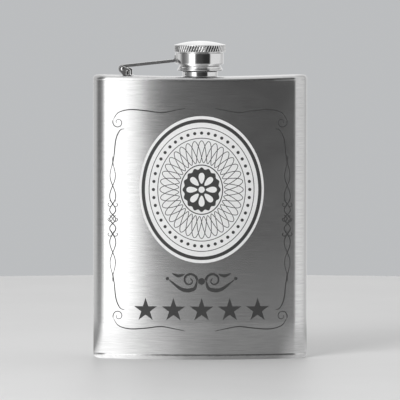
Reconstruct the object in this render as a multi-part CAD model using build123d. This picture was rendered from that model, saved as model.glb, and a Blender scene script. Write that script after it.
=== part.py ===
# Curved stainless-steel hip flask with a captive cap.
# The cap turns inside a collar, and the collar hangs on an arm that is hinged to the shoulder.
# Millimetres. +Z up, the front faces -Y. The origin is on the flat underside, on the neck axis.
import math
import os

from build123d import *

# ---- body ------------------------------------------------------------------------------------
BODY_WIDTH = 94.0            # side to side
BODY_THICKNESS = 22.5        # front sheet to back sheet, measured along a radius
FRONT_RADIUS = 125.0         # plan radius of the convex front; the back is concentric with it
FRONT_CORNER = 9.0           # plan radius where the front rolls into the side
BACK_CORNER = 7.0            # plan radius where the back rolls into the side
WALL = 0.6                   # sheet thickness
DECK_Z = 123.6               # top of the shoulder at the neck
DECK_DISH_RADIUS = 1200.0    # the shoulder is a little lower in the middle than at its ends
EDGE_FILLET = 1.7            # rounding round the top and the bottom
SHOULDER_SEAM_Z = 122.3      # weld between the wrap and the shoulder plate
BASE_SEAM_Z = 2.3            # weld between the base plate and the wrap

# ---- neck and its thread (heights are above DECK_Z) --------------------------------------------
NECK_BORE_R = 5.9
NECK_ROOT_R = 6.7
NECK_CREST_R = 7.2
NECK_BASE_R = 7.7
NECK_FOOT_R = 8.2
NECK_BASE_TOP = 2.4
NECK_TOP = 10.0
THREAD_PITCH = 2.5
THREAD_START = 3.9           # height of the middle of the first turn
THREAD_TURNS = 2.0
RIDGE_FOOT = 1.3             # axial width of a thread ridge at its foot
RIDGE_TIP = 0.5              # axial width of a thread ridge at its crest

# ---- cap (heights are above DECK_Z) ------------------------------------------------------------
CAP_ROOT_R = 8.3             # bore of the sleeve
CAP_CREST_R = 7.8            # its thread ridge passes over the neck's crest, so the cap can swing
SLEEVE_R = 8.9
SLEEVE_BOTTOM = 2.7
SLEEVE_TOP = 12.4
LIP_R = 10.0
LIP_Z = 3.26
LIP_TOP = 5.2
COLLAR_BOTTOM = 5.57
COLLAR_TOP = 10.66
COLLAR_R = 10.35
SHELL_BOTTOM = 10.9
SHELL_R = 11.3
SHELL_BAND_TOP = 14.05
SHELL_APEX = 15.8
SHELL_WALL = 0.8
GASKET_THICKNESS = 1.4
SEAT_GAP = 0.02              # air between the gasket and the neck's lip when shut
RUNNING = 0.05               # radial clearance where one piece turns in another

# ---- hinge -------------------------------------------------------------------------------------
PIVOT_REACH = 34.0           # pin axis to neck axis
PIVOT_AZIMUTH = 8.7          # degrees the arm points away from -X, so the bracket sits mid-deck
PIVOT_RISE = 3.44            # pin axis above DECK_Z
PIN_R = 0.45
PIN_HEAD_R = 0.85
PIN_HEAD = 0.4
ARM_WIDTH = 5.0
ARM_THICKNESS = 1.4
ARM_SLOPE = 6.2              # degrees the strip climbs from the knuckle to the collar
ARM_BEND_R = 1.5             # centre-line radius where the strip turns up into the tab
ROLL_SWEEP = 285.0           # degrees of the rolled knuckle
TAB_R = 10.95                # outer radius of the curved tab, which is let into the collar
TAB_HALF_ANGLE = 22.0
TAB_BOTTOM = 5.9
TAB_TOP = 10.5
EAR_THICKNESS = 0.8
EAR_GAP = 0.1                # side play of the knuckle between the ears
EAR_R = 1.5
EAR_RIGHT = 3.4              # right edge of the ears, measured along the arm from the pin axis
WINDOW_LEFT = 1.7            # arched opening through each ear, left edge from the pin axis
WINDOW_RIGHT = 2.75
WINDOW_TOP = -0.55           # top of the arch, from the pin axis
FOOT_LEFT = 0.4
FOOT_RIGHT = 4.1
FOOT_THICKNESS = 0.6
PIN_HALF = ARM_WIDTH / 2 + EAR_GAP + EAR_THICKNESS


def turned(outline):
    """Solid of revolution about Z from a closed outline in (radius, height above the deck)."""
    return Pos(0, 0, DECK_Z) * revolve(Plane.XZ * make_face(outline), Axis.Z)


def tube(inner_r, outer_r, bottom, top):
    """Plain ring, heights above the deck."""
    return turned(Polyline(
        (inner_r, bottom), (outer_r, bottom), (outer_r, top), (inner_r, top), close=True
    ))


def kidney(inset):
    """Plan section of the body, moved inwards by the given sheet thickness."""
    front_r = FRONT_RADIUS - inset
    back_r = FRONT_RADIUS - BODY_THICKNESS + inset
    front_corner = FRONT_CORNER - inset
    back_corner = BACK_CORNER - inset
    # The front corner circle touches the front arc and reaches the full half width.
    corner_x = BODY_WIDTH / 2 - FRONT_CORNER
    corner_angle = math.asin(corner_x / (FRONT_RADIUS - FRONT_CORNER))
    side_angle = corner_angle + math.asin(front_corner / (FRONT_RADIUS - FRONT_CORNER))
    centre = Pos(0, FRONT_RADIUS - BODY_THICKNESS / 2)

    def at(radius, angle):
        return (radius * math.sin(angle), -radius * math.cos(angle))

    outline = Curve() + [
        ThreePointArc(at(front_r, -side_angle), at(front_r, 0), at(front_r, side_angle)),
        Line(at(front_r, side_angle), at(back_r, side_angle)),
        ThreePointArc(at(back_r, side_angle), at(back_r, 0), at(back_r, -side_angle)),
        Line(at(back_r, -side_angle), at(front_r, -side_angle)),
    ]
    face = make_face(outline)
    by_y = face.vertices().sort_by(Axis.Y)
    face = fillet(by_y[:2], front_corner)
    face = fillet(face.vertices().sort_by(Axis.Y)[-2:], back_corner)
    return centre * face


def body_block(inset):
    """The whole body as a solid block, moved inwards by the given sheet thickness."""
    block = Pos(0, 0, inset) * extrude(kidney(inset), DECK_Z + 5)
    dish = Cylinder(DECK_DISH_RADIUS + inset, 200, rotation=(90, 0, 0))
    block -= Pos(0, 0, DECK_Z + DECK_DISH_RADIUS) * dish
    rims = block.edges().filter_by(lambda e: abs(e.tangent_at(0.5).Z) < 0.5)
    return fillet(rims, EDGE_FILLET - inset)


def slab(bottom, top):
    """Everything between two heights."""
    return Pos(0, 0, (bottom + top) / 2) * Box(300, 300, top - bottom)


def body_sheets():
    """The three welded sheets: base plate, wrap and shoulder plate with its neck hole."""
    sheet = body_block(0) - body_block(WALL)
    base = sheet & slab(-1, BASE_SEAM_Z)
    wrap = sheet & slab(BASE_SEAM_Z, SHOULDER_SEAM_Z)
    shoulder = sheet & slab(SHOULDER_SEAM_Z, DECK_Z + 10)
    shoulder -= Pos(0, 0, DECK_Z) * Cylinder(NECK_CREST_R, 20)
    return base, wrap, shoulder


def ridge(foot_r, crest_r):
    """Helical thread ridge standing from foot_r to crest_r, inwards or outwards."""
    start = DECK_Z + THREAD_START
    sink = math.copysign(0.1, foot_r - crest_r)
    path = Helix(THREAD_PITCH, THREAD_PITCH * THREAD_TURNS, foot_r, center=(0, 0, start))
    section = Plane(origin=(foot_r, 0, start), x_dir=(1, 0, 0), z_dir=(0, -1, 0)) * make_face(
        Polyline(
            (sink, -RIDGE_FOOT / 2),
            (crest_r - foot_r, -RIDGE_TIP / 2),
            (crest_r - foot_r, RIDGE_TIP / 2),
            (sink, RIDGE_FOOT / 2),
            close=True,
        )
    )
    return sweep(section, path=path, is_frenet=True)


def neck_spout(shoulder):
    """Neck with a flared foot on the shoulder, a plain base, a threaded part and a spigot."""
    spigot = -3.0
    lead = 0.3
    foot = 0.5
    body = turned(Polyline(
        (NECK_BORE_R, spigot),
        (NECK_CREST_R, spigot),
        (NECK_CREST_R, 0),
        (NECK_FOOT_R, 0),
        (NECK_BASE_R, foot),
        (NECK_BASE_R, NECK_BASE_TOP),
        (NECK_ROOT_R, NECK_BASE_TOP + 0.3),
        (NECK_ROOT_R, NECK_TOP - lead),
        (NECK_ROOT_R - lead, NECK_TOP),
        (NECK_BORE_R, NECK_TOP),
        close=True,
    ))
    return body + ridge(NECK_ROOT_R, NECK_CREST_R) - shoulder


def cap_sleeve():
    """Inner sleeve of the cap: flared lip below, internal thread, closed top."""
    body = turned(Polyline(
        (0, SLEEVE_TOP),
        (SLEEVE_R, SLEEVE_TOP),
        (SLEEVE_R, LIP_TOP),
        (LIP_R, LIP_Z),
        (LIP_R - 0.4, SLEEVE_BOTTOM),
        (CAP_ROOT_R, SLEEVE_BOTTOM),
        (CAP_ROOT_R, NECK_TOP + SEAT_GAP + GASKET_THICKNESS),
        (0, NECK_TOP + SEAT_GAP + GASKET_THICKNESS),
        close=True,
    ))
    return body + ridge(CAP_ROOT_R, CAP_CREST_R)


def cap_shell():
    """Domed shell pressed on the sleeve; the straight band is the finger grip."""
    bead = 0.35
    groove_r = SHELL_R - 0.25
    dome_r = SHELL_R - 0.7
    dome_z = SHELL_BAND_TOP + 0.2
    cavity_r = dome_r - SHELL_WALL
    outer_apex = (0, SHELL_APEX)
    inner_apex = (0, SHELL_APEX - SHELL_WALL)
    inner_edge = (cavity_r, dome_z - SHELL_WALL)
    walls = Polyline(
        inner_edge,
        (cavity_r, SLEEVE_TOP),
        (SLEEVE_R, SLEEVE_TOP),
        (SLEEVE_R, SHELL_BOTTOM),
        (groove_r, SHELL_BOTTOM),
        (SHELL_R, SHELL_BOTTOM + bead),
        (SHELL_R, SHELL_BAND_TOP - bead),
        (dome_r, dome_z),
    )
    outer_dome = TangentArc(outer_apex, (dome_r, dome_z), tangent=(1, 0))
    inner_dome = TangentArc(inner_apex, inner_edge, tangent=(1, 0))
    return turned(Curve() + [walls, outer_dome, Line(outer_apex, inner_apex), inner_dome])


def cap_gasket():
    """Soft disc that closes on the neck's lip."""
    bottom = NECK_TOP + SEAT_GAP
    return tube(0, CAP_ROOT_R, bottom, bottom + GASKET_THICKNESS)


def swivel_collar(arm):
    """Smooth ring round the sleeve, between the lip and the grip, notched for the arm's tab."""
    ring = tube(SLEEVE_R + RUNNING, COLLAR_R, COLLAR_BOTTOM, COLLAR_TOP)
    outer = ring.edges().filter_by(GeomType.CIRCLE).sort_by(lambda e: e.radius)[-2:]
    return fillet(outer, 0.45) - arm


def beside_pin(shape):
    """Carry a shape from the arm's own frame (pin axis = Y, collar towards +X) to the flask."""
    return Rot(0, 0, -PIVOT_AZIMUTH) * Pos(-PIVOT_REACH, 0, DECK_Z + PIVOT_RISE) * shape


def arm_path():
    """Centre line of the strip in its own XZ plane: roll, straight climb, bend, upright end."""
    roll_r = PIN_R + RUNNING + ARM_THICKNESS / 2
    slope = math.radians(ARM_SLOPE)
    tab_x = PIVOT_REACH - TAB_R + ARM_THICKNESS / 2
    leave = (-roll_r * math.sin(slope), roll_r * math.cos(slope))
    corner = (tab_x, leave[1] + (tab_x - leave[0]) * math.tan(slope))
    setback = ARM_BEND_R * math.tan(math.radians(90 - ARM_SLOPE) / 2)
    bend_start = (corner[0] - setback * math.cos(slope), corner[1] - setback * math.sin(slope))
    bend_end = (corner[0], corner[1] + setback)
    return Plane.XZ * Wire([
        CenterArc((0, 0), roll_r, 90 + ARM_SLOPE + ROLL_SWEEP, -ROLL_SWEEP),
        Line(leave, bend_start),
        TangentArc(bend_start, bend_end, tangent=(math.cos(slope), math.sin(slope))),
        Line(bend_end, (tab_x, TAB_TOP - PIVOT_RISE - 0.5)),
    ])


def captive_arm():
    """One bent strip: rolled round the pin, straight, then turned up into a curved tab."""
    path = arm_path()
    section = Plane(origin=path @ 0, z_dir=path % 0, x_dir=(0, 1, 0)) * Rectangle(
        ARM_WIDTH, ARM_THICKNESS
    )
    strip = sweep(section, path=path)
    tab = tube(TAB_R - ARM_THICKNESS, TAB_R, TAB_BOTTOM, TAB_TOP)
    half_width = TAB_R * math.sin(math.radians(TAB_HALF_ANGLE))
    window = Pos(-TAB_R, 0, DECK_Z) * Box(TAB_R, 2 * half_width, 50)
    tab = Rot(0, 0, -PIVOT_AZIMUTH) * (tab & window)
    bore = Pos(0, 0, DECK_Z) * Cylinder(TAB_R - ARM_THICKNESS, 50)
    return beside_pin(strip) - bore + tab


def hinge_bracket():
    """Two arched ears on a common foot, cut to lie on the dished shoulder."""
    floor = -PIVOT_RISE - 0.5
    foot_top = FOOT_THICKNESS - PIVOT_RISE + 0.5
    ear = make_face(Polyline(
        (-0.6 * EAR_R, -0.8 * EAR_R),
        (FOOT_LEFT, floor),
        (EAR_RIGHT, floor),
        (EAR_RIGHT, -0.2),
        (0.1 * EAR_R, 0.98 * EAR_R),
        close=True,
    )) + Circle(EAR_R)
    arch_r = (WINDOW_RIGHT - WINDOW_LEFT) / 2
    arch_z = WINDOW_TOP - arch_r
    window = make_face(Polyline(
        (WINDOW_LEFT, floor),
        (WINDOW_RIGHT, floor),
        (WINDOW_RIGHT, arch_z),
        (WINDOW_LEFT, arch_z),
        close=True,
    )) + Pos(WINDOW_LEFT + arch_r, arch_z) * Circle(arch_r)
    ears = extrude(Plane.XZ * (ear - window), PIN_HALF, both=True)
    ears -= Box(8 * EAR_R, ARM_WIDTH + 2 * EAR_GAP, 8 * EAR_R)
    foot = Pos((FOOT_LEFT + FOOT_RIGHT) / 2, 0, (floor + foot_top) / 2) * Box(
        FOOT_RIGHT - FOOT_LEFT, 2 * PIN_HALF, foot_top - floor
    )
    hole = Cylinder(PIN_R, 4 * PIN_HALF, rotation=(90, 0, 0))
    deck = Cylinder(DECK_DISH_RADIUS, 200, rotation=(90, 0, 0))
    return beside_pin(ears + foot - hole) & Pos(0, 0, DECK_Z + DECK_DISH_RADIUS) * deck


def hinge_pin():
    """Pin with a riveted head on each side."""
    shank = Cylinder(PIN_R, 2 * PIN_HALF)
    head = Cylinder(PIN_HEAD_R, PIN_HEAD)
    heads = [Pos(0, 0, side * (PIN_HALF + PIN_HEAD / 2)) * head for side in (-1, 1)]
    return beside_pin(Rot(90, 0, 0) * (shank + heads))


def main():
    base, wrap, shoulder = body_sheets()
    arm = captive_arm()
    pieces = {
        "base_plate": base,
        "body_wrap": wrap,
        "shoulder_plate": shoulder,
        "neck_spout": neck_spout(shoulder),
        "hinge_bracket": hinge_bracket(),
        "hinge_pin": hinge_pin(),
        "captive_arm": arm,
        "swivel_collar": swivel_collar(arm),
        "cap_sleeve": cap_sleeve(),
        "cap_shell": cap_shell(),
        "cap_gasket": cap_gasket(),
    }
    os.makedirs("parts", exist_ok=True)
    for name, piece in pieces.items():
        export_step(piece, f"parts/{name}.step")
        box = piece.bounding_box()
        print(name, len(piece.solids()), round(piece.volume, 1), box.min, box.max)


main()
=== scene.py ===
import math

import bmesh
import bpy
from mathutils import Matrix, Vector


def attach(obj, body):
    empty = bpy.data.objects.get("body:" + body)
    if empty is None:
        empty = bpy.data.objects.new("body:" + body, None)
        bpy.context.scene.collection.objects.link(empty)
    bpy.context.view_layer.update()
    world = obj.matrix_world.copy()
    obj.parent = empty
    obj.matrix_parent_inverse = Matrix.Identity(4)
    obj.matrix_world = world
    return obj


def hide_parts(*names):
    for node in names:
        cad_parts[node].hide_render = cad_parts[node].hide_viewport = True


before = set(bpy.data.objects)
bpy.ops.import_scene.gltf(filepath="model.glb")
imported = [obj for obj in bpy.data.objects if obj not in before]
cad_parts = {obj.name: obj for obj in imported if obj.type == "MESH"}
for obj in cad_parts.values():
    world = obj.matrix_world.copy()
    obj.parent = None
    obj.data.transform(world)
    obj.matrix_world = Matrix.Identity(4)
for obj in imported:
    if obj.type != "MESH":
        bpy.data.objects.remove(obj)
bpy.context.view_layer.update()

MM = 0.001
SAME = 1e-6                  # lengths closer than this count as equal

# ---- body ----
HALF_WIDTH = 47.0
FRONT_R = 125.0              # plan radius of the convex front; the back is concentric with it
THICKNESS = 22.5
FRONT_CORNER = 9.0           # plan radii of the corners
BACK_CORNER = 7.0
WALL = 0.6
DECK_Z = 123.6               # top of the shoulder at the neck
DISH_R = 1200.0              # the shoulder is dished across the width with this radius
EDGE_FILLET = 1.7            # rounding round the top and the bottom
SHOULDER_SEAM_Z = 122.3
BASE_SEAM_Z = 2.3
SEAM_BEVEL = 0.05
AXIS_Y = FRONT_R - THICKNESS / 2      # the front and back arcs turn about (0, AXIS_Y)
FRONT_STEPS = 200            # mesh points along the arcs and flats of the plan outline
BACK_STEPS = 160
FRONT_CORNER_STEPS = 40
BACK_CORNER_STEPS = 30
SIDE_STEPS = 4
RIM_STEPS = 10               # mesh rings over a rounded rim
DECK_STEPS = 14              # mesh rings from the shoulder's rim to the neck

# ---- neck and cap; heights are above DECK_Z ----
NECK_HOLE_R = 7.2
NECK_BORE_R = 5.9
NECK_ROOT_R = 6.7
NECK_BASE_R = 7.7
NECK_FOOT_R = 8.2
NECK_SPIGOT = 3.0            # how far the neck reaches down through the shoulder
NECK_BASE_TOP = 2.4
NECK_TOP = 10.0
THREAD_PITCH = 2.5
THREAD_START = 3.9
THREAD_TURNS = 2.0
THREAD_DEPTH = 0.5
RIDGE_FOOT = 1.3             # heights of the thread's ridge at its foot and at its tip
RIDGE_TIP = 0.5
SLEEVE_R = 8.9
SLEEVE_BORE_R = 8.3
SLEEVE_TOP = 12.4
SLEEVE_CEILING = 11.42
RUNNING = 0.05               # clearance where one piece turns in another
COLLAR_R = 10.35
COLLAR_BOTTOM = 5.57
COLLAR_TOP = 10.66
SHELL_BOTTOM = 10.9
SHELL_WALL = 0.8
GRIP_R = 11.3
GRIP_LOW = 11.15
GRIP_HIGH = 13.95
DOME_R = 10.45
DOME_Z = 14.28
DOME_TOP = 15.8
THREAD_SEGMENTS = 192

# ---- grip ----
KNURL_COUNT = 56
KNURL_DEPTH = 0.24
KNURL_LEAN = math.radians(24)
KNURL_FLAT = 0.12            # share of the pitch left uncut on a crest
KNURL_CROSS = 0.45           # depth of the second family of grooves against the first
KNURL_SEGMENTS = 18          # mesh points across one groove
KNURL_ROWS = 40
KNURL_FADE = 0.15            # the grooves run out over this height at both ends of the grip

# ---- hinge; the ears, windows and foot are measured from the pin's axis ----
PIVOT_REACH = 34.0
PIVOT_AZIMUTH = math.radians(8.7)
PIVOT_RISE = 3.44
PIN_R = 0.45
PIN_HEAD_R = 0.85
PIN_HEAD = 0.4
ARM_WIDTH = 5.0
ARM_THICKNESS = 1.4
ARM_EDGE = 0.14              # rounding of the strip's edges
ARM_SLOPE = math.radians(6.2)
ARM_BEND_R = 1.5
ROLL_SWEEP = math.radians(285)
ROLL_STEPS = 48
BEND_STEPS = 16
TAB_R = 10.95
TAB_HALF_ANGLE = math.radians(22)
TAB_BOTTOM = 5.9             # the tab's heights are above DECK_Z
TAB_TOP = 10.5
STRIP_TOP = 9.5              # the strip ends inside the tab
TAB_STEPS = 28
EAR_R = 1.5
EAR_RIGHT = 3.4
EAR_THICKNESS = 0.8
EAR_GAP = 0.1
EAR_INNER = ARM_WIDTH / 2 + EAR_GAP
EAR_OUTER = EAR_INNER + EAR_THICKNESS
WINDOW_LEFT = 1.7
WINDOW_RIGHT = 2.75
WINDOW_TOP = -0.55
FOOT_LEFT = 0.4
FOOT_RIGHT = 4.1
FOOT_Z = 0.34 - PIVOT_RISE   # underside of the foot, a hair below the shoulder's surface
FOOT_THICKNESS = 0.6

# ---- engraving; heights are above the underside ----
MARK_SINK = 0.05             # depth of the marks' undersides below the metal
MARK_LIFT = 0.05             # height of a dark mark on bare metal
GROUND_LIFT = 0.03           # heights of the medal's pale ground and of what lies on it
MEDAL_LIFT = 0.06
FLOWER_LIFT = 0.09
ART_SHIFT = 0.7              # the artwork sits a little right of the middle
MEDAL_CENTRE = (ART_SHIFT, 74.6)
MEDAL_HALF_WIDTH = 27.5
MEDAL_SQUASH = 1.17          # height of the oval against its width
PETAL_LENGTH = 4.84
PETAL_WIDTH = 2.475
EYE_R = 1.375
DIVIDER_Z = 34.4
STARS_Z = 21.7
STAR_PITCH = 12.35
STAR_R = 5.4
FRAME_TOP = 108.9
FRAME_MID_Z = 61.4
FRAME_SIDE = 38.9            # middle of the side strands, from the middle of the front

# ---- studio, in metres ----
# Brightness by azimuth from the front (-Y) towards +X, as (degrees, tone) from -180 to 180.
WALL_TONES = (
    (-180, 1.15), (-166, 0.80), (-150, 0.72), (-118, 0.75), (-104, 0.40), (-95, 0.18), (-84, 0.19),
    (-72, 0.30), (-62, 0.48), (-55, 0.95), (-49, 1.8), (-40, 2.0), (-30, 1.90), (-25, 1.05),
    (-21, 0.26), (-16, 0.11), (-8, 0.08), (6, 0.065), (20, 0.04), (34, 0.035), (48, 0.04),
    (55, 0.88), (110, 0.88), (135, 0.62), (166, 0.80), (180, 1.15),
)
# Tones of the ground in the surround, and of the floor as the metal mirrors it: on the floor they are a
# painted reflection, a glow shown only to mirrored rays.
FLOOR_TONES = (
    (-180, 0.42), (-120, 0.42), (-104, 0.35), (-72, 0.40), (-56, 1.60), (-46, 1.60), (-31, 1.00),
    (-9, 0.50), (9, 0.35), (43, 0.31), (52, 0.70), (75, 0.70), (110, 0.42), (180, 0.42),
)
TONE_SCALE = 2.0             # a colour ramp ends at 1, so tones are stored divided by this
FLOOR_TONES_CENTRE = (0, 0.03, 0)       # the floor's azimuths are taken about this point
FLOOR_GAIN_START = 0.08      # between these distances the floor's painted reflection gains brightness
FLOOR_GAIN_END = 0.24
FLOOR_GAIN = 2.0
CEILING_TONE = 1.0
CEILING_BAND = (0.74, 0.98)  # sines of the elevations where the walls turn into the ceiling
GROUND_BAND = (-0.12, -0.26)            # and into the ground
BACKDROP = (0.50, 0.51, 0.52, 1)        # what the camera sees behind the flask

# ---- meshes ----


def new_object(name, data):
    """Object put into the scene."""
    made = bpy.data.objects.new(name, data)
    bpy.context.scene.collection.objects.link(made)
    return made


def add_piece(name, solid, material, body, stands_for=None, sharp_deg=35):
    """Smooth-shaded mesh of a solid, which is a (points, faces) pair, hung on a body of the flask."""
    points, faces = solid
    mesh = bpy.data.meshes.new(name)
    mesh.from_pydata([Vector(p) * MM for p in points], [], faces)
    clean = bmesh.new()
    clean.from_mesh(mesh)
    bmesh.ops.remove_doubles(clean, verts=clean.verts, dist=1e-7)
    bmesh.ops.recalc_face_normals(clean, faces=clean.faces)
    clean.to_mesh(mesh)
    clean.free()
    mesh.shade_smooth()
    mesh.set_sharp_from_angle(angle=math.radians(sharp_deg))
    mesh.materials.append(material)
    piece = new_object(name, mesh)
    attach(piece, body)
    if stands_for:
        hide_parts(stands_for)


def grid_faces(rows, columns, close_rows=False):
    """Quads of a grid of points stored row after row; each row is a closed loop."""
    faces = []
    for r in range(rows if close_rows else rows - 1):
        for c in range(columns):
            r2 = (r + 1) % rows
            c2 = (c + 1) % columns
            faces.append((r * columns + c, r * columns + c2, r2 * columns + c2, r2 * columns + c))
    return faces


def rounded(corners, radius, steps=4):
    """A closed outline with every corner rounded; a corner given as (x, y, r) has its own radius."""
    out = []
    count = len(corners)
    for i, corner in enumerate(corners):
        here = Vector(corner[:2])
        r = corner[2] if len(corner) > 2 else radius
        before = Vector(corners[i - 1][:2]) - here
        after = Vector(corners[(i + 1) % count][:2]) - here
        angle = before.angle(after)
        if r == 0 or angle > math.radians(179):
            out.append(tuple(here))
            continue
        reach = min(r / math.tan(angle / 2), before.length * 0.49, after.length * 0.49)
        start = here + before.normalized() * reach
        end = here + after.normalized() * reach
        for k in range(steps + 1):
            t = k / steps
            point = start * (1 - t) ** 2 + here * 2 * t * (1 - t) + end * t * t
            out.append(tuple(point))
    return out


def lathe(profile, segments, shape=None, base_z=DECK_Z, twist=None):
    """Solid turned about Z from a closed (radius, height) loop.

    shape(angle, radius, height) may return another radius, for threads and knurls.
    twist(height) turns a whole ring, so that its points follow leaning ridges."""
    points = []
    for radius, height in profile:
        turn = twist(height) if twist else 0
        for k in range(segments):
            angle = 2 * math.pi * k / segments + turn
            r = shape(angle, radius, height) if shape else radius
            points.append((r * math.cos(angle), r * math.sin(angle), base_z + height))
    return points, grid_faces(len(profile), segments, close_rows=True)


def sweep_loop(loops):
    """Tube through equal loops, with flat ends."""
    count = len(loops[0])
    points = [p for loop in loops for p in loop]
    faces = grid_faces(len(loops), count)
    last = (len(loops) - 1) * count
    faces.append(tuple(range(count)))
    faces.append(tuple(last + k for k in reversed(range(count))))
    return points, faces


def closed_loop(loops):
    """Tube through equal loops whose last one meets the first."""
    points = [p for loop in loops for p in loop]
    return points, grid_faces(len(loops), len(loops[0]), close_rows=True)


def joined(solids):
    """Several solids as one."""
    points = []
    faces = []
    for more_points, more_faces in solids:
        start = len(points)
        points += more_points
        faces += [tuple(i + start for i in face) for face in more_faces]
    return points, faces


def ramp(value, low, high):
    """0 below low, 1 above high, smooth between."""
    t = min(max((value - low) / (high - low), 0), 1)
    return t * t * (3 - 2 * t)


def between(start, end, share):
    """Plan point a share of the way from one plan point to another."""
    return start[0] + (end[0] - start[0]) * share, start[1] + (end[1] - start[1]) * share


# ---- body sheets ----


def arc(centre_x, centre_y, radius, start_deg, end_deg, steps):
    """Points on an arc; angles are measured from -Y towards +X. The end point is left out."""
    out = []
    for k in range(steps):
        angle = math.radians(start_deg + (end_deg - start_deg) * k / steps)
        out.append((centre_x + radius * math.sin(angle), centre_y - radius * math.cos(angle)))
    return out


def side_run(from_centre, from_r, to_centre, to_r, normal_deg):
    """Flat between two corner arcs that share a normal."""
    start = arc(*from_centre, from_r, normal_deg, normal_deg, 1)[0]
    end = arc(*to_centre, to_r, normal_deg, normal_deg, 1)[0]
    return [between(start, end, k / SIDE_STEPS) for k in range(SIDE_STEPS)]


def kidney(shrink):
    """Plan outline of the body moved inwards; every outline has the same number of points."""
    front_centre = FRONT_R - FRONT_CORNER
    back_r = FRONT_R - THICKNESS
    back_centre = back_r + BACK_CORNER
    front_deg = math.degrees(math.asin((HALF_WIDTH - FRONT_CORNER) / front_centre))
    side_deg = front_deg + math.degrees(math.asin(FRONT_CORNER / front_centre))
    back_deg = side_deg - math.degrees(math.asin(BACK_CORNER / back_centre))

    def centre(radius, deg):
        return radius * math.sin(math.radians(deg)), AXIS_Y - radius * math.cos(math.radians(deg))

    right_front = centre(front_centre, front_deg)
    right_back = centre(back_centre, back_deg)
    left_front = (-right_front[0], right_front[1])
    left_back = (-right_back[0], right_back[1])
    front_corner = FRONT_CORNER - shrink
    back_corner = BACK_CORNER - shrink
    outline = arc(0, AXIS_Y, FRONT_R - shrink, -front_deg, front_deg, FRONT_STEPS)
    outline += arc(*right_front, front_corner, front_deg, side_deg + 90, FRONT_CORNER_STEPS)
    outline += side_run(right_front, front_corner, right_back, back_corner, side_deg + 90)
    outline += arc(*right_back, back_corner, side_deg + 90, back_deg + 180, BACK_CORNER_STEPS)
    outline += arc(0, AXIS_Y, back_r + shrink, back_deg, -back_deg, BACK_STEPS)
    outline += arc(*left_back, back_corner, 180 - back_deg, 270 - side_deg, BACK_CORNER_STEPS)
    outline += side_run(left_back, back_corner, left_front, front_corner, 270 - side_deg)
    outline += arc(*left_front, front_corner, 270 - side_deg, 360 - front_deg, FRONT_CORNER_STEPS)
    return outline


def deck(x):
    """Height of the dished shoulder."""
    return DECK_Z + x * x / (2 * DISH_R)


def flat_ring(z, shrink):
    """Level ring of the plan outline moved inwards."""
    return [(x, y, z) for x, y in kidney(shrink)]


def side_ring(z, shrink):
    """Ring on the outside of the body at height z, already following the rounded top and bottom."""
    ring = []
    for outer, inner in zip(kidney(shrink), kidney(shrink + EDGE_FILLET)):
        past_top = z - (deck(outer[0]) - EDGE_FILLET)
        past_bottom = EDGE_FILLET - z
        past = min(max(past_top, past_bottom, 0), EDGE_FILLET)
        pull = EDGE_FILLET - math.sqrt(EDGE_FILLET ** 2 - past ** 2)
        ring.append((*between(outer, inner, pull / EDGE_FILLET), z))
    return ring


def sheet_wrap(steel):
    """Front, back and sides as one closed sheet."""
    low = BASE_SEAM_Z
    high = SHOULDER_SEAM_Z
    straight_top = 118.0
    straight_steps = 8
    rim_start = 121.0            # close rings follow where the rounded rim starts on the wrap
    rim_step = 0.15
    rim_rings = 9
    rings = [side_ring(low, SEAM_BEVEL), side_ring(low + SEAM_BEVEL, 0)]
    for k in range(1, straight_steps):
        rings.append(side_ring(low + (straight_top - low) * k / straight_steps, 0))
    rings += [side_ring(rim_start + rim_step * k, 0) for k in range(rim_rings)]
    rings += [side_ring(high - SEAM_BEVEL, 0), side_ring(high, SEAM_BEVEL)]
    rings += [flat_ring(high, WALL), flat_ring(low, WALL)]
    add_piece("body_sheet", closed_loop(rings), steel, "flask", "body_wrap", 50)


def rolled_rim(seam_ring):
    """Rings that roll from the seam over the rounded rim onto the shoulder."""
    rings = []
    for k in range(1, RIM_STEPS + 1):
        ring = []
        for (_, _, seam_z), side, rim in zip(seam_ring, kidney(0), kidney(EDGE_FILLET)):
            roll_z = deck(rim[0]) - EDGE_FILLET
            low_angle = math.asin(min(max((seam_z - roll_z) / EDGE_FILLET, 0), 1))
            angle = low_angle + (math.pi / 2 - low_angle) * k / RIM_STEPS
            z = roll_z + EDGE_FILLET * math.sin(angle)
            ring.append((*between(rim, side, math.cos(angle)), z))
        rings.append(ring)
    return rings


def deck_ring(share, drop):
    """Ring on the shoulder between its rim (share 0) and the neck's hole (share 1)."""
    ring = []
    for rim in kidney(EDGE_FILLET):
        angle = math.atan2(rim[1], rim[0])
        hole = (NECK_HOLE_R * math.cos(angle), NECK_HOLE_R * math.sin(angle))
        x, y = between(rim, hole, share)
        ring.append((x, y, deck(x) - drop))
    return ring


def sheet_shoulder(steel):
    """Dished top plate from the weld to the hole for the neck."""
    weld_edge = 0.9              # the underside ends this far in from the wrap's outside
    rings = [side_ring(SHOULDER_SEAM_Z, SEAM_BEVEL), side_ring(SHOULDER_SEAM_Z + SEAM_BEVEL, 0)]
    rings += rolled_rim(rings[-1])
    rings += [deck_ring(k / DECK_STEPS, 0) for k in range(1, DECK_STEPS + 1)]
    rings += [deck_ring(k / DECK_STEPS, WALL) for k in range(DECK_STEPS, -1, -1)]
    rings.append(flat_ring(SHOULDER_SEAM_Z, weld_edge))
    solid = closed_loop(rings)
    add_piece("shoulder_sheet", solid, steel, "flask", "shoulder_plate", 50)


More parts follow.
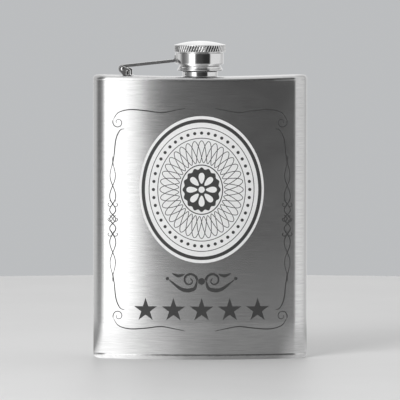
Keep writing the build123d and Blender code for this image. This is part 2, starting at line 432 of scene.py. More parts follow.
def sheet_base(steel):
    """Flat bottom plate with its rounded rim: a shallow tray."""
    rings = [side_ring(BASE_SEAM_Z, SEAM_BEVEL), side_ring(BASE_SEAM_Z - SEAM_BEVEL, 0)]
    for k in range(1, RIM_STEPS + 1):
        angle = math.pi / 2 * k / RIM_STEPS
        z = EDGE_FILLET * (1 - math.sin(angle))
        plan = zip(kidney(0), kidney(EDGE_FILLET))
        rings.append([(*between(rim, side, math.cos(angle)), z) for side, rim in plan])
    rings += [flat_ring(WALL, EDGE_FILLET), flat_ring(BASE_SEAM_Z, WALL)]
    points, faces = closed_loop(rings)
    count = len(rings[0])
    first = (RIM_STEPS + 1) * count         # of the underside's own points
    underside = tuple(range(first, first + count))
    floor_inside = tuple(i + count for i in underside)
    faces[first:first + count] = [underside, floor_inside]      # caps instead of the strip between
    add_piece("base_sheet", (points, faces), steel, "flask", "base_plate", 50)


# ---- neck and cap ----


def thread_rise(angle, height):
    """0 at the thread's root, 1 on its crest, with run-outs at both ends."""
    run_out = 0.08               # of a turn
    rise = 0.0
    for k in range(int(THREAD_TURNS) + 1):
        along = angle / (2 * math.pi) + k
        centre = THREAD_START + THREAD_PITCH * along
        flank = 1 - ramp(abs(height - centre), RIDGE_TIP / 2, RIDGE_FOOT / 2)
        fade = ramp(along, 0, run_out) * (1 - ramp(along, THREAD_TURNS - run_out, THREAD_TURNS))
        rise = max(rise, flank * fade)
    return rise


def threaded(root, depth):
    """Shape for lathe: the wall at the root radius carries the thread, all else stays plain."""
    def shape(angle, radius, height):
        if abs(radius - root) < SAME:
            return root + depth * thread_rise(angle, height)
        return radius

    return shape


def fine_run(radius, bottom, top):
    """Sharp points up a straight wall, close enough together to carry a thread."""
    step = 0.12
    count = round((top - bottom) / step)
    return [(radius, bottom + (top - bottom) * k / count, 0) for k in range(count + 1)]


def neck(bright):
    """Threaded neck on a flared foot. Profile points are (radius, height, own rounding)."""
    foot = [
        (NECK_BORE_R, -NECK_SPIGOT, 0), (NECK_HOLE_R, -NECK_SPIGOT, 0), (NECK_HOLE_R, 0, 0),
        (NECK_FOOT_R, 0.02, 0), (NECK_BASE_R + 0.2, 0.22), (NECK_BASE_R, 0.5),
        (NECK_BASE_R, NECK_BASE_TOP), (NECK_ROOT_R, NECK_BASE_TOP + 0.3),
    ]
    wall = fine_run(NECK_ROOT_R, NECK_BASE_TOP + 0.4, NECK_TOP - 0.4)
    lip = [(NECK_ROOT_R, NECK_TOP - 0.3), (NECK_ROOT_R, NECK_TOP), (NECK_BORE_R, NECK_TOP)]
    profile = rounded(foot + wall + lip, 0.25)
    solid = lathe(profile, THREAD_SEGMENTS, threaded(NECK_ROOT_R, THREAD_DEPTH))
    add_piece("neck", solid, bright, "flask", "neck_spout")


def sleeve(bright):
    """Closed sleeve with the inside thread; its flared, grooved lip keeps the collar on."""
    body = [(0.0, SLEEVE_TOP, 0), (SLEEVE_R, SLEEVE_TOP), (SLEEVE_R, 5.6)]
    flare = [(8.8, 5.2, 0.3), (9.60, 3.97, 0.08)]
    groove = [(9.42, 3.85, 0.06), (9.62, 3.68, 0.08)]
    lip = [(9.98, 3.42, 0.12), (10.0, 3.15, 0.1), (9.75, 2.75, 0.2), (9.0, 2.7, 0.1)]
    inside = [(SLEEVE_BORE_R, 2.75, 0.2)] + fine_run(SLEEVE_BORE_R, 3.0, 9.4)
    inside += [(SLEEVE_BORE_R, SLEEVE_CEILING, 0.1), (0.0, SLEEVE_CEILING, 0)]
    profile = rounded(body + flare + groove + lip + inside, 0.2)
    solid = lathe(profile, THREAD_SEGMENTS, threaded(SLEEVE_BORE_R, -THREAD_DEPTH))
    add_piece("cap_inner_sleeve", solid, bright, "cap", "cap_sleeve")


def collar(bright):
    """Smooth ring that the cap turns in."""
    inner = SLEEVE_R + RUNNING
    corners = [(inner, COLLAR_BOTTOM), (COLLAR_R, COLLAR_BOTTOM)]
    corners += [(COLLAR_R, COLLAR_TOP), (inner, COLLAR_TOP)]
    solid = lathe(rounded(corners, 0.5, 8), 256)
    add_piece("collar", solid, bright, "arm", "swivel_collar")


def knurl_turn(height):
    """Angle by which a leaning ridge has moved round at a height."""
    return height * math.tan(KNURL_LEAN) / GRIP_R


def knurl(angle, height):
    """Depth share 0..1 of two crossing families of V grooves; the first is the deeper."""
    depth = 0.0
    for sense, share in ((-1, 1.0), (1, KNURL_CROSS)):
        phase = (angle + sense * knurl_turn(height)) * KNURL_COUNT / (2 * math.pi)
        from_crest = abs((phase % 1) - 0.5) * 2
        groove = max(from_crest - KNURL_FLAT, 0) / (1 - KNURL_FLAT)
        depth = max(depth, groove - (1 - share))
    return depth


def dome_points():
    """Shallow sphere from the crown's edge to the top of the cap."""
    rise = DOME_TOP - DOME_Z
    sphere = (DOME_R ** 2 + rise ** 2) / (2 * rise)
    steps = 24
    points = []
    for k in range(steps + 1):
        r = DOME_R * math.cos(math.pi / 2 * k / steps)
        points.append((r, DOME_TOP - sphere + math.sqrt(sphere ** 2 - r * r)))
    return points


def shell(steel):
    """Pressed outer shell of the cap: skirt, knurled grip, crown and dome."""
    skirt = [(SLEEVE_R, SHELL_BOTTOM, 0), (11.1, SHELL_BOTTOM, 0.1), (GRIP_R, 11.1, 0.08)]
    skirt = rounded(skirt, 0.1)[:-1]
    rise = (GRIP_HIGH - GRIP_LOW) / KNURL_ROWS
    grip = [(GRIP_R, GRIP_LOW + rise * k) for k in range(KNURL_ROWS + 1)]
    crown = [(GRIP_R, GRIP_HIGH, 0), (GRIP_R, 14.05, 0.08), (10.85, 14.22, 0.2), (DOME_R, DOME_Z)]
    crown = rounded(crown, 0.3)[1:-5]
    under = [(0.0, DOME_TOP - SHELL_WALL), (5.0, DOME_TOP - SHELL_WALL - 0.3)]
    under += [(9.8, DOME_Z - 0.6), (9.8, SLEEVE_TOP), (SLEEVE_R, SLEEVE_TOP)]
    profile = skirt + grip + crown + dome_points() + under

    def knurled(angle, radius, height):
        if abs(radius - GRIP_R) > SAME or not GRIP_LOW <= height <= GRIP_HIGH:
            return radius
        edge = ramp(height, GRIP_LOW, GRIP_LOW + KNURL_FADE)
        edge *= 1 - ramp(height, GRIP_HIGH - KNURL_FADE, GRIP_HIGH)
        return radius - KNURL_DEPTH * edge * knurl(angle, height)

    def follow(height):
        return knurl_turn(min(max(height, GRIP_LOW), GRIP_HIGH))

    solid = lathe(profile, KNURL_COUNT * KNURL_SEGMENTS, knurled, twist=follow)
    add_piece("cap_knurled_shell", solid, steel, "cap", "cap_shell", 40)


# ---- hinge ----


def beside_pin(solid):
    """Bring a solid from the arm's own frame (pin axis = Y, collar towards +X) to the flask's."""
    c = math.cos(PIVOT_AZIMUTH)
    s = math.sin(PIVOT_AZIMUTH)
    points, faces = solid
    placed = []
    for x, y, z in points:
        x -= PIVOT_REACH
        placed.append((x * c + y * s, y * c - x * s, z + DECK_Z + PIVOT_RISE))
    return placed, faces


def strip_path():
    """Stations (x, z, normal angle) along the strip's centre line, from the roll to the tab."""
    roll_r = PIN_R + RUNNING + ARM_THICKNESS / 2
    stations = []
    top = math.pi / 2 + ARM_SLOPE
    for k in range(ROLL_STEPS + 1):
        angle = top + ROLL_SWEEP * (1 - k / ROLL_STEPS)
        stations.append((roll_r * math.cos(angle), roll_r * math.sin(angle), angle))
    tab_x = PIVOT_REACH - TAB_R + ARM_THICKNESS / 2
    leave_x, leave_z, _ = stations[-1]
    corner_z = leave_z + (tab_x - leave_x) * math.tan(ARM_SLOPE)
    turn = math.pi / 2 - ARM_SLOPE
    centre_x = tab_x - ARM_BEND_R
    centre_z = corner_z + ARM_BEND_R * math.tan(turn / 2)
    for k in range(BEND_STEPS + 1):
        angle = -math.pi / 2 + ARM_SLOPE + turn * k / BEND_STEPS
        x = centre_x + ARM_BEND_R * math.cos(angle)
        z = centre_z + ARM_BEND_R * math.sin(angle)
        stations.append((x, z, angle + math.pi))
    stations.append((tab_x, STRIP_TOP - PIVOT_RISE, math.pi))
    return stations


def strip():
    """Bent strip with softened edges, from the knuckle to the collar."""
    half = ARM_WIDTH / 2
    thick = ARM_THICKNESS / 2
    section = rounded([(-half, -thick), (half, -thick), (half, thick), (-half, thick)], ARM_EDGE)
    loops = []
    for x, z, angle in strip_path():
        loops.append([(x + n * math.cos(angle), y, z + n * math.sin(angle)) for y, n in section])
    return beside_pin(sweep_loop(loops))


def tab():
    """Curved tab let into the collar; it thins out and rounds off towards its two ends."""
    inner = TAB_R - ARM_THICKNESS
    flush = COLLAR_R + 0.04      # radius outside the tab's thin ends
    loops = []
    for k in range(TAB_STEPS + 1):
        share = 2 * k / TAB_STEPS - 1
        angle = math.pi - PIVOT_AZIMUTH + share * TAB_HALF_ANGLE
        thinning = abs(share) ** 3
        trim = 1.5 * (1 - math.sqrt(1 - 0.98 * thinning))
        low = TAB_BOTTOM + trim
        high = TAB_TOP - 0.3 * trim
        outer = TAB_R + (flush - TAB_R) * thinning
        section = rounded([(inner, low), (outer, low), (outer, high), (inner, high)], 0.28)
        loops.append([(r * math.cos(angle), r * math.sin(angle), DECK_Z + z) for r, z in section])
    return sweep_loop(loops)


def arm(steel):
    """The strip and its tab as one piece."""
    add_piece("arm", joined([strip(), tab()]), steel, "arm", "captive_arm", 60)


def inset(outline, distance):
    """An anticlockwise outline moved inwards, corner by corner."""
    out = []
    count = len(outline)
    for i, corner in enumerate(outline):
        here = Vector(corner)
        before = (here - Vector(outline[i - 1])).normalized()
        after = (Vector(outline[(i + 1) % count]) - here).normalized()
        across = Vector((-before.y - after.y, before.x + after.x)).normalized()
        lean = max(across.dot(Vector((-before.y, before.x))), 0.5)
        out.append(tuple(here + across * distance / lean))
    return out


def slab_of(outline, low, high):
    """Plate with softened rims: an (x, z) outline between two y positions."""
    edge = 0.12
    loops = []
    for y, pull in ((low, edge), (low + edge, 0), (high - edge, 0), (high, edge)):
        loops.append([(x, y, z) for x, z in inset(outline, pull)])
    return sweep_loop(loops)


def ear_outline():
    """Arched ear about the pin axis, anticlockwise from the foot of its left leg."""
    arch_r = (WINDOW_RIGHT - WINDOW_LEFT) / 2
    arch_x = WINDOW_LEFT + arch_r
    arch_z = WINDOW_TOP - arch_r
    arch_steps = 8
    outline = [(FOOT_LEFT, FOOT_Z), (WINDOW_LEFT, FOOT_Z)]
    for k in range(arch_steps + 1):
        angle = math.pi * (1 - k / arch_steps)
        outline.append((arch_x + arch_r * math.cos(angle), arch_z + arch_r * math.sin(angle)))
    outline += [(WINDOW_RIGHT, FOOT_Z), (EAR_RIGHT, FOOT_Z), (EAR_RIGHT, -0.3), (EAR_RIGHT - 0.2, -0.05)]
    for deg in range(84, 236, 8):
        angle = math.radians(deg)
        outline.append((EAR_R * math.cos(angle), EAR_R * math.sin(angle)))
    return outline


def bracket(steel):
    """Two arched ears on a foot. The foot sinks a hair into the shoulder, where the weld is."""
    foot_top = FOOT_Z + FOOT_THICKNESS
    foot = [(FOOT_LEFT, FOOT_Z), (FOOT_RIGHT, FOOT_Z), (FOOT_RIGHT, foot_top), (FOOT_LEFT, foot_top)]
    ear = ear_outline()
    plates = ((ear, -EAR_OUTER, -EAR_INNER), (ear, EAR_INNER, EAR_OUTER), (foot, -EAR_OUTER, EAR_OUTER))
    solid = beside_pin(joined(slab_of(*plate) for plate in plates))
    add_piece("bracket", solid, steel, "flask", "hinge_bracket", 40)


def pin(bright):
    """Rivet with a low domed head on each side."""
    head = [(PIN_R, 0.0), (PIN_HEAD_R, 0.0), (PIN_HEAD_R, 0.15), (0.6, 0.33), (0.3, 0.39)]
    half = [(r, EAR_OUTER + h) for r, h in head + [(0.0, PIN_HEAD)]]
    profile = [(r, -h) for r, h in reversed(half)] + half + [(0.0, 0.0)]
    points, faces = lathe(profile, 48, base_z=0)
    solid = beside_pin(([(x, z, y) for x, y, z in points], faces))
    add_piece("hinge_rivet", solid, bright, "flask", "hinge_pin", 40)


# ---- engraving on the front ----


def on_front(u, z, lift):
    """Point on the front sheet: u millimetres round from the middle, z up, lifted off the metal."""
    angle = u / FRONT_R
    radius = FRONT_R + lift
    return (radius * math.sin(angle), AXIS_Y - radius * math.cos(angle), z)


def stroke(path, width, lift, closed=False):
    """Flat line along (u, z) points as a thin closed solid; width is a number or a function of 0..1."""
    count = len(path)
    loops = []
    for k, (u, z) in enumerate(path):
        before = path[k - 1] if (k or closed) else path[k]
        after = path[(k + 1) % count] if (closed or k + 1 < count) else path[k]
        along = Vector((after[0] - before[0], after[1] - before[1])).normalized()
        side = Vector((-along.y, along.x))
        half = (width(k / (count - 1)) if callable(width) else width) / 2
        left = (u + side.x * half, z + side.y * half)
        right = (u - side.x * half, z - side.y * half)
        loops.append([
            on_front(*left, -MARK_SINK), on_front(*right, -MARK_SINK),
            on_front(*right, lift), on_front(*left, lift),
        ])
    return closed_loop(loops) if closed else sweep_loop(loops)


def patch(centre, outline, lift, rings):
    """Filled star-shaped area as a thin closed solid that follows the curved sheet."""
    count = len(outline)
    points = [on_front(*centre, lift)]
    for k in range(1, rings + 1):
        points += [on_front(*between(centre, edge, k / rings), lift) for edge in outline]
    points += [on_front(u, z, -MARK_SINK) for u, z in outline]
    points.append(on_front(*centre, -MARK_SINK))
    faces = [(0, 1 + k, 1 + (k + 1) % count) for k in range(count)]
    faces += [tuple(i + 1 for i in face) for face in grid_faces(rings + 1, count)]
    start = 1 + rings * count
    faces += [(len(points) - 1, start + (k + 1) % count, start + k) for k in range(count)]
    return points, faces


def on_circle(centre, radius, angle):
    """Point on a circle; the angle starts at the top."""
    return centre[0] + radius * math.sin(angle), centre[1] + radius * math.cos(angle)


def circle(centre, radius, count):
    """Closed round outline."""
    return [on_circle(centre, radius, 2 * math.pi * k / count) for k in range(count)]


def on_medal(share, angle):
    """Point of the medal; the share is 0 in its middle and 1 on its edge."""
    u, z = on_circle((0, 0), MEDAL_HALF_WIDTH * share, angle)
    return MEDAL_CENTRE[0] + u, MEDAL_CENTRE[1] + MEDAL_SQUASH * z


def medal_ring(share, count, ripple=0.0, ripples=0, phase=0.0):
    """Closed line round the medal, plain or rippling in and out."""
    out = []
    for k in range(count):
        angle = 2 * math.pi * k / count
        out.append(on_medal(share + ripple * math.cos(ripples * angle + phase), angle))
    return out


def star(centre, radius):
    """Five-pointed star, with points on its edges so that it can follow the sheet."""
    inner = radius * math.sin(math.radians(18)) / math.sin(math.radians(126))
    corners = [on_circle(centre, inner if k % 2 else radius, math.pi * k / 5) for k in range(10)]
    out = []
    for k in range(10):
        out += [between(corners[k], corners[(k + 1) % 10], i / 4) for i in range(4)]
    return out


def spiral(centre, start_r, end_r, start_deg, turn_deg, steps):
    """Curl whose radius shrinks evenly."""
    out = []
    for k in range(steps + 1):
        t = k / steps
        r = start_r + (end_r - start_r) * t
        angle = math.radians(start_deg + turn_deg * t)
        out.append((centre[0] + r * math.cos(angle), centre[1] + r * math.sin(angle)))
    return out


def smooth_line(controls, steps):
    """Catmull-Rom curve through a few points."""
    pts = [controls[0]] + list(controls) + [controls[-1]]
    out = []
    for k in range(1, len(pts) - 2):
        p0, p1, p2, p3 = (Vector(p) for p in pts[k - 1:k + 3])
        for i in range(steps):
            t = i / steps
            out.append(tuple(0.5 * (
                2 * p1 + (p2 - p0) * t + (2 * p0 - 5 * p1 + 4 * p2 - p3) * t * t
                + (3 * p1 - p0 - 3 * p2 + p3) * t ** 3
            )))
    out.append(tuple(controls[-1]))
    return out


def moved(path, du, dz):
    """A path shifted by an amount."""
    return [(u + du, z + dz) for u, z in path]


def mirrored(path):
    """A path on the other side of the front's middle line."""
    return [(-u, z) for u, z in path]


def flipped(path):
    """A path upside down about the middle of the frame."""
    return [(u, 2 * FRAME_MID_Z - z) for u, z in path]


def swell(low, high):
    """Line width that swells in the middle."""
    return lambda t: low + (high - low) * math.sin(math.pi * t)


def taper(start, end):
    """Line width that changes evenly."""
    return lambda t: start + (end - start) * t


def medal_lines():
    """Dark oval bands, a ring of beads, three waves that cross one another and a scalloped core."""
    marks = []
    for share, width in ((0.935, 1.5), (0.84, 0.32), (0.70, 0.32), (0.335, 0.45)):
        marks.append(stroke(medal_ring(share, 240), width, MEDAL_LIFT, closed=True))
    beads = 44
    for k in range(beads):
        spot = on_medal(0.77, 2 * math.pi * k / beads)
        marks.append(patch(spot, circle(spot, 0.72, 14), MEDAL_LIFT, 1))
    waves = 3
    for k in range(waves):
        wave = medal_ring(0.515, 480, ripple=0.15, ripples=12, phase=2 * math.pi * k / waves)
        marks.append(stroke(wave, 0.30, MEDAL_LIFT + 0.003 * k, closed=True))
    core = medal_ring(0.29, 120, ripple=0.0145, ripples=16)
    marks.append(patch(MEDAL_CENTRE, core, MEDAL_LIFT, 6))
    return joined(marks)


def medal_flower():
    """Eight pale petals round an eye."""
    petals = 8
    steps = 28
    marks = []
    for k in range(petals):
        angle = 2 * math.pi * k / petals
        spot = on_medal(0.155, angle)
        petal = []
        for j in range(steps):
            t = 2 * math.pi * j / steps
            along = PETAL_LENGTH / 2 * math.cos(t)
            across = PETAL_WIDTH / 2 * math.sin(t) * (1 + 0.35 * math.cos(t))
            petal.append((
                spot[0] + along * math.sin(angle) + across * math.cos(angle),
                spot[1] + along * math.cos(angle) - across * math.sin(angle),
            ))
        marks.append(patch(spot, petal, FLOWER_LIFT, 2))
    marks.append(patch(MEDAL_CENTRE, circle(MEDAL_CENTRE, EYE_R, 24), FLOWER_LIFT, 2))
    return joined(marks)


def medallion(pale, dark):
    """Oval rosette: dark lines and a pale flower on a pale ground."""
    ground = patch(MEDAL_CENTRE, medal_ring(1, 240), GROUND_LIFT, 24)
    add_piece("engraved_medal_ground", ground, pale, "flask")
    add_piece("engraved_medal_lines", medal_lines(), dark, "flask")
    add_piece("engraved_medal_flower", medal_flower(), pale, "flask")


def divider(dark):
    """Plain scroll divider under the medallion: a dot between two mirrored scrolls."""
    lines = (
        (spiral((5.2, 0.4), 3.3, 0.7, 180, -430, 70), taper(1.15, 0.40)),
        (smooth_line([(1.9, 0.4), (3.4, -3.3), (8.4, -3.6), (14.2, 0.6)], 16), swell(0.35, 1.7)),
        (smooth_line([(7.4, 3.2), (10.0, 2.4), (12.8, 3.4)], 12), swell(0.2, 1.3)),
    )
    centre = (ART_SHIFT, DIVIDER_Z)
    marks = [patch(centre, circle(centre, 1.5, 32), MARK_LIFT, 3)]
    for path, width in lines:
        for half in (path, mirrored(path)):
            marks.append(stroke(moved(half, *centre), width, MARK_LIFT))
    for reach in (-15.0, 15.0):
        tip = (ART_SHIFT + reach, DIVIDER_Z + 1.2)
        marks.append(patch(tip, circle(tip, 0.75, 20), MARK_LIFT, 1))
    add_piece("engraved_divider", joined(marks), dark, "flask")


def star_row(dark):
    """Five plain stars."""
    marks = []
    for k in range(-2, 3):
        centre = (ART_SHIFT + STAR_PITCH * k, STARS_Z)
        marks.append(patch(centre, star(centre, STAR_R), MARK_LIFT, 5))
    add_piece("engraved_stars", joined(marks), dark, "flask")


def frame_corners():
    """Wavy rule, curl and falling stroke, repeated in all four corners of the frame."""
    rule = [(6.5, 1.3), (11, 0.4), (17, -0.6), (24, 0.2), (31, 0.6), (36.2, -0.7), (38.6, -3.8)]
    fall = [(33.6, -7.8), (35.6, -8.6), (37.4, -12.5), (38.2, -19), (FRAME_SIDE, -24)]
    lines = (
        (smooth_line(rule, 12), swell(0.18, 0.52)),
        (spiral((36.4, -5.0), 2.5, 0.8, 20, -400, 50), taper(0.42, 0.22)),
        (smooth_line(fall, 12), swell(0.2, 0.5)),
    )
    marks = []
    for path, width in lines:
        path = moved(path, 0, FRAME_TOP)
        for across in (path, mirrored(path)):
            marks.append(stroke(across, width, MARK_LIFT))
            marks.append(stroke(flipped(across), width, MARK_LIFT))
    return marks


def frame_sides():
    """Two twisted strands down each side, with three pairs of curls at the middle."""
    half_height = FRAME_TOP - 20 - FRAME_MID_Z      # the corners take the rest
    steps = 160
    marks = []
    for strand in (-1, 1):
        path = []
        for k in range(steps + 1):
            v = k / steps * 2 - 1
            turns = 2.5 * v + 1.2 * math.tanh(4 * v)
            reach = 0.5 + 0.9 * ramp(1 - abs(v), 0, 0.4)
            u = FRAME_SIDE + strand * reach * math.cos(math.pi * turns)
            path.append((u, FRAME_MID_Z + half_height * v))
        for across in (path, mirrored(path)):
            marks.append(stroke(across, swell(0.2, 0.45), MARK_LIFT + 0.004 * strand))
    for level in (-6.5, 0, 6.5):
        for inner in (-1, 1):
            centre = (FRAME_SIDE + inner * 1.5, FRAME_MID_Z + level)
            curl = spiral(centre, 1.55, 0.5, 90, inner * 330, 30)
            for across in (curl, mirrored(curl)):
                marks.append(stroke(across, 0.32, MARK_LIFT))
    return marks


def border(dark):
    """Scroll frame round the artwork."""
    marks = frame_corners() + frame_sides()
    add_piece("engraved_border", joined(marks), dark, "flask")


# ---- shader nodes ----


def feed(tree, socket, value):
    """Give an input socket another node's output or a plain value."""
    if isinstance(value, bpy.types.NodeSocket):
        tree.links.new(value, socket)
    else:
        socket.default_value = value


def outputs_of(tree, kind, inputs, **settings):
    """Outputs of a new node; inputs holds values or other nodes' outputs by socket name or number."""
    node = tree.nodes.new("ShaderNode" + kind)
    for setting, value in settings.items():
        setattr(node, setting, value)
    for socket, value in inputs.items():
        feed(tree, node.inputs[socket], value)
    return node.outputs


def maths(tree, operation, first, second=0.0):
    """Result of a maths node."""
    return outputs_of(tree, "Math", {0: first, 1: second}, operation=operation)["Value"]


def vector_maths(tree, operation, first, second=(0, 0, 0), output="Vector"):
    """Result of a vector maths node."""
    return outputs_of(tree, "VectorMath", {0: first, 1: second}, operation=operation)[output]


def map_range(tree, value, low, high, to_low=0.0, to_high=1.0, curve="LINEAR"):
    """A value with low..high stretched to another range and clamped there."""
    inputs = {"Value": value, "From Min": low, "From Max": high, "To Min": to_low, "To Max": to_high}
    return outputs_of(tree, "MapRange", inputs, interpolation_type=curve)["Result"]


def mix(tree, share, first, second):
    """Colour that turns from the first to the second as the share goes from 0 to 1."""
    inputs = {"Factor": share, "A": first, "B": second}
    return outputs_of(tree, "Mix", inputs, data_type="RGBA")["Result"]


def streaks(tree, coords, scale, detail=4.0):
    """Noise around 0.5; the scale is about how many grains there are to a metre along each axis."""
    stretched = outputs_of(tree, "Mapping", {"Vector": coords, "Scale": scale})["Vector"]
    inputs = {"Vector": stretched, "Scale": 1.0, "Detail": detail, "Roughness": 0.6}
    return outputs_of(tree, "TexNoise", inputs)["Fac"]


def remap(tree, noise, low, high):
    """Stretch the middle of a noise to low..high."""
    return map_range(tree, noise, 0.3, 0.7, low, high)


def grey(tree, noise, low, high):
    """Neutral colour between two grey levels, driven by noise."""
    level = remap(tree, noise, low, high)
    return outputs_of(tree, "CombineColor", {"Red": level, "Green": level, "Blue": level})["Color"]


def bump(tree, height, distance, strength):
    """Normal tilted by a height; the distance is in metres."""
    inputs = {"Height": height, "Distance": distance, "Strength": strength}
    return outputs_of(tree, "Bump", inputs)["Normal"]


def tones_by_azimuth(tree, direction, tones):
    """Grey level read from (degrees, tone) stops by the azimuth of a direction."""
    axes = outputs_of(tree, "SeparateXYZ", {"Vector": direction})
    azimuth = maths(tree, "ARCTAN2", axes["X"], maths(tree, "MULTIPLY", axes["Y"], -1))
    levels = tree.nodes.new("ShaderNodeValToRGB")
    feed(tree, levels.inputs["Fac"], map_range(tree, azimuth, -math.pi, math.pi))
    stops = levels.color_ramp.elements
    for _ in range(len(tones) - 2):
        stops.new(0.5)
    for stop, (degrees, tone) in zip(stops, tones):
        level = tone / TONE_SCALE
        stop.position = (degrees + 180) / 360
        stop.color = (level, level, level, 1)
    return vector_maths(tree, "MULTIPLY", levels.outputs["Color"], [TONE_SCALE] * 3)


# ---- materials ----


def new_material(name):
    """Node material; returned with its node tree and its object coordinates."""
    material = bpy.data.materials.new(name)
    material.use_nodes = True
    tree = material.node_tree
    return material, tree, tree.nodes.new("ShaderNodeTexCoord").outputs["Object"]


def set_surface(tree, colour, roughness, **others):
    """Feed the material's shader; an underscore stands for a space in an input's name."""
    inputs = tree.nodes["Principled BSDF"].inputs
    for socket, value in {"Base Color": colour, "Roughness": roughness, **others}.items():
        feed(tree, inputs[socket.replace("_", " ")], value)


def brushed_steel(name, grain_scale):
    """Steel brushed sideways, so reflections smear across the grain but stay crisp along it."""
    material, tree, coords = new_material(name)
    grain = streaks(tree, coords, grain_scale, 2.0)
    cloud = streaks(tree, coords, (45, 45, 80), 3.0)
    smear = outputs_of(tree, "CombineXYZ", {"Y": 0.05, "Z": 1.0})["Vector"]
    colour = grey(tree, grain, 0.55, 0.67)
    roughness = remap(tree, cloud, 0.225, 0.265)
    set_surface(tree, colour, roughness, Metallic=1.0, Anisotropic=0.85, Tangent=smear)
    return material


def polished(tree, coords):
    """Colour, roughness and normal of polished steel with faint handling marks."""
    haze = streaks(tree, coords, (260, 260, 260))
    scuff = streaks(tree, coords, (900, 900, 2400), 3.0)
    return grey(tree, haze, 0.72, 0.78), remap(tree, haze, 0.05, 0.12), bump(tree, scuff, 0.000004, 0.5)


def bright_steel():
    """Polished fittings."""
    material, tree, coords = new_material("bright_steel")
    colour, roughness, normal = polished(tree, coords)
    set_surface(tree, colour, roughness, Metallic=1.0, Normal=normal)
    return material


def knurled_steel_painted_shade():
    """Polished steel whose grip has painted shade: a near-black base colour on its groove floors."""
    material, tree, coords = new_material("knurled_steel_painted_shade")
    colour, roughness, normal = polished(tree, coords)
    from_axis = vector_maths(tree, "MULTIPLY", coords, (1, 1, 0))
    radius = vector_maths(tree, "LENGTH", from_axis, output="Value")
    depth = map_range(tree, radius, (GRIP_R - 0.10) * MM, (GRIP_R - 0.22) * MM)
    height = outputs_of(tree, "SeparateXYZ", {"Vector": coords})["Z"]
    below = maths(tree, "LESS_THAN", height, (DECK_Z + GRIP_HIGH - 0.05) * MM)
    above = maths(tree, "GREATER_THAN", height, (DECK_Z + GRIP_LOW + 0.10) * MM)
    groove = maths(tree, "MULTIPLY", depth, maths(tree, "MULTIPLY", below, above))
    # painted shade: the base colour turns near black towards the groove floors
    colour = mix(tree, groove, colour, (0.05, 0.05, 0.05, 1))
    set_surface(tree, colour, roughness, Metallic=1.0, Normal=normal)
    return material


def strip_steel():
    """Stamped strip: polished on its rolled faces; on the faces turned along the pin, the edges left by
    the shearing and the bracket's ears, it is duller and carries painted shade in a dark base colour.
    """
    material, tree, coords = new_material("strip_steel")
    streak = streaks(tree, coords, (500, 2500, 2500))
    facing = outputs_of(tree, "NewGeometry", {})["Normal"]
    pin_axis = (math.sin(PIVOT_AZIMUTH), math.cos(PIVOT_AZIMUTH), 0)
    along_pin = vector_maths(tree, "DOT_PRODUCT", facing, pin_axis, "Value")
    pin_facing_dull_and_shaded = map_range(tree, maths(tree, "ABSOLUTE", along_pin), 0.75, 0.95)
    # painted shade: faces turned along the pin get a dark base colour; their higher roughness is the
    # real duller finish
    colour = mix(tree, pin_facing_dull_and_shaded, grey(tree, streak, 0.74, 0.82), grey(tree, streak, 0.16, 0.32))
    roughness = map_range(tree, pin_facing_dull_and_shaded, 0, 1, 0.10, 0.25)
    set_surface(tree, colour, roughness, Metallic=1.0, Normal=bump(tree, streak, 0.00002, 0.5))
    return material


def etched(name, low, high, roughness):
    """Laser-marked metal: matt, neutral, with a fine frosted grain."""
    material, tree, coords = new_material(name)
    grain = streaks(tree, coords, (900, 900, 5000), 3.0)
    set_surface(tree, grey(tree, grain, low, high), roughness, Specular_IOR_Level=0.25)
    return material


def silicone():
    """Soft off-white sealing disc."""
    material, tree, coords = new_material("gasket_silicone")
    grain = streaks(tree, coords, (1500, 1500, 1500), 3.0)
    set_surface(tree, grey(tree, grain, 0.66, 0.74), 0.55, Normal=bump(tree, grain, 0.00002, 0.4))
    return material


def floor_paint():
    """Plain pale studio floor; to mirrored rays it glows instead, a painted reflection brighter on the
    left than on the right.
    """
    material, tree, coords = new_material("studio_floor")
    set_surface(tree, grey(tree, streaks(tree, coords, (9, 9, 9), 3.0), 0.62, 0.65), 0.5)
    outward = vector_maths(tree, "SUBTRACT", coords, FLOOR_TONES_CENTRE)
    distance = vector_maths(tree, "LENGTH", outward, output="Value")
    # painted reflection: a glow that only mirrored rays see, brighter to the left and further out
    painted_reflection_glow = outputs_of(tree, "Emission", {
        "Color": tones_by_azimuth(tree, outward, FLOOR_TONES),
        "Strength": map_range(tree, distance, FLOOR_GAIN_START, FLOOR_GAIN_END, 1.0, FLOOR_GAIN),
    })["Emission"]
    mirrored_ray = outputs_of(tree, "LightPath", {})["Is Glossy Ray"]
    paint = tree.nodes["Principled BSDF"].outputs["BSDF"]
    surface = outputs_of(tree, "MixShader", {"Fac": mirrored_ray, 1: paint, 2: painted_reflection_glow})["Shader"]
    feed(tree, tree.nodes["Material Output"].inputs["Surface"], surface)
    return material


# ---- studio ----


def studio_floor(paint):
    """Round table top that reaches further behind the flask than in front of it."""
    radius = 0.42
    centre_y = 0.13
    segments = 96
    points = []
    for k in range(segments):
        angle = 2 * math.pi * k / segments
        points.append((radius * math.cos(angle), centre_y + radius * math.sin(angle), 0))
    mesh = bpy.data.meshes.new("studio_floor")
    mesh.from_pydata(points, [], [tuple(range(segments))])
    mesh.materials.append(paint)
    new_object("studio_floor", mesh)


def key_light():
    """Soft light from the front left; the metal does not mirror it."""
    azimuth = math.radians(-32)             # from the front (-Y) towards +X
    elevation = math.radians(25)
    distance = 1.2
    aim = Vector((0, 0, 0.07))
    direction = Vector((
        math.sin(azimuth) * math.cos(elevation),
        -math.cos(azimuth) * math.cos(elevation),
        math.sin(elevation),
    ))
    light = bpy.data.lights.new("key_softbox", "AREA")
    light.shape = "RECTANGLE"
    light.size = 0.5
    light.size_y = 0.9
    light.energy = 8
    lamp = new_object("key_softbox", light)
    lamp.location = aim + distance * direction
    lamp.rotation_euler = direction.to_track_quat("Z", "Y").to_euler()
    lamp.visible_glossy = False


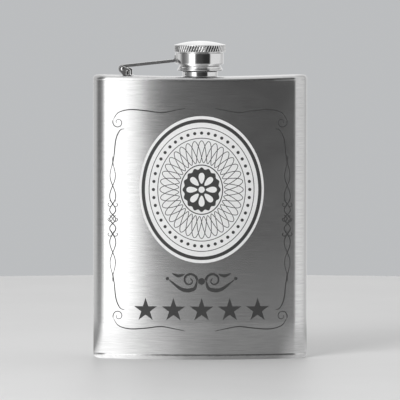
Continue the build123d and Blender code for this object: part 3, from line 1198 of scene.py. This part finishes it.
def studio_walls():
    """Soft surround: bright left, dark behind the camera and to its right, pale to the eye."""
    world = bpy.data.worlds.new("studio")
    bpy.context.scene.world = world
    world.use_nodes = True
    tree = world.node_tree
    direction = outputs_of(tree, "TexCoord", {})["Generated"]
    height = outputs_of(tree, "SeparateXYZ", {"Vector": direction})["Z"]
    below = map_range(tree, height, *GROUND_BAND, curve="SMOOTHSTEP")
    above = map_range(tree, height, *CEILING_BAND, curve="SMOOTHSTEP")
    walls = tones_by_azimuth(tree, direction, WALL_TONES)
    ground = tones_by_azimuth(tree, direction, FLOOR_TONES)
    ceiling = (CEILING_TONE, CEILING_TONE, CEILING_TONE, 1)
    surround = mix(tree, above, mix(tree, below, walls, ground), ceiling)
    to_the_eye = outputs_of(tree, "LightPath", {})["Is Camera Ray"]
    seen = mix(tree, to_the_eye, surround, BACKDROP)
    feed(tree, tree.nodes["Background"].inputs["Color"], seen)


def camera():
    """Long lens, square on to the front, looking down three degrees."""
    aim = Vector((0, 0, 0.0695))
    tilt = math.radians(3)
    distance = 2.3
    data = bpy.data.cameras.new("camera")
    data.lens = 471
    data.sensor_width = 36
    data.clip_end = 20
    eye = new_object("camera", data)
    eye.location = aim + distance * Vector((0, -math.cos(tilt), math.sin(tilt)))
    eye.rotation_euler = (math.pi / 2 - tilt, 0, 0)
    bpy.context.scene.camera = eye


# ---- the whole scene ----


def body_pieces():
    """The three sheets; the grain runs sideways on the wrap and on the plates."""
    plate = brushed_steel("brushed_plate", (150, 7000, 150))
    sheet_wrap(brushed_steel("brushed_wrap", (150, 150, 7000)))
    sheet_shoulder(plate)
    sheet_base(plate)


def fittings():
    """Neck, cap and hinge. The gasket keeps its CAD mesh and gets its own material."""
    bright = bright_steel()
    stamped = strip_steel()
    neck(bright)
    sleeve(bright)
    collar(bright)
    shell(knurled_steel_painted_shade())
    arm(stamped)
    bracket(stamped)
    pin(bright)
    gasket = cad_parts["cap_gasket"].data
    gasket.materials.clear()
    gasket.materials.append(silicone())


def engraving():
    """Dark and pale marks on the front."""
    pale = etched("etched_pale", 0.74, 0.84, 0.55)
    dark = etched("etched_dark", 0.045, 0.060, 0.5)
    border(dark)
    medallion(pale, dark)
    divider(dark)
    star_row(dark)


def studio():
    """Floor, surround, one soft light and the camera."""
    studio_floor(floor_paint())
    studio_walls()
    key_light()
    camera()
    bpy.context.scene.view_settings.view_transform = "Standard"


body_pieces()
fittings()
engraving()
studio()
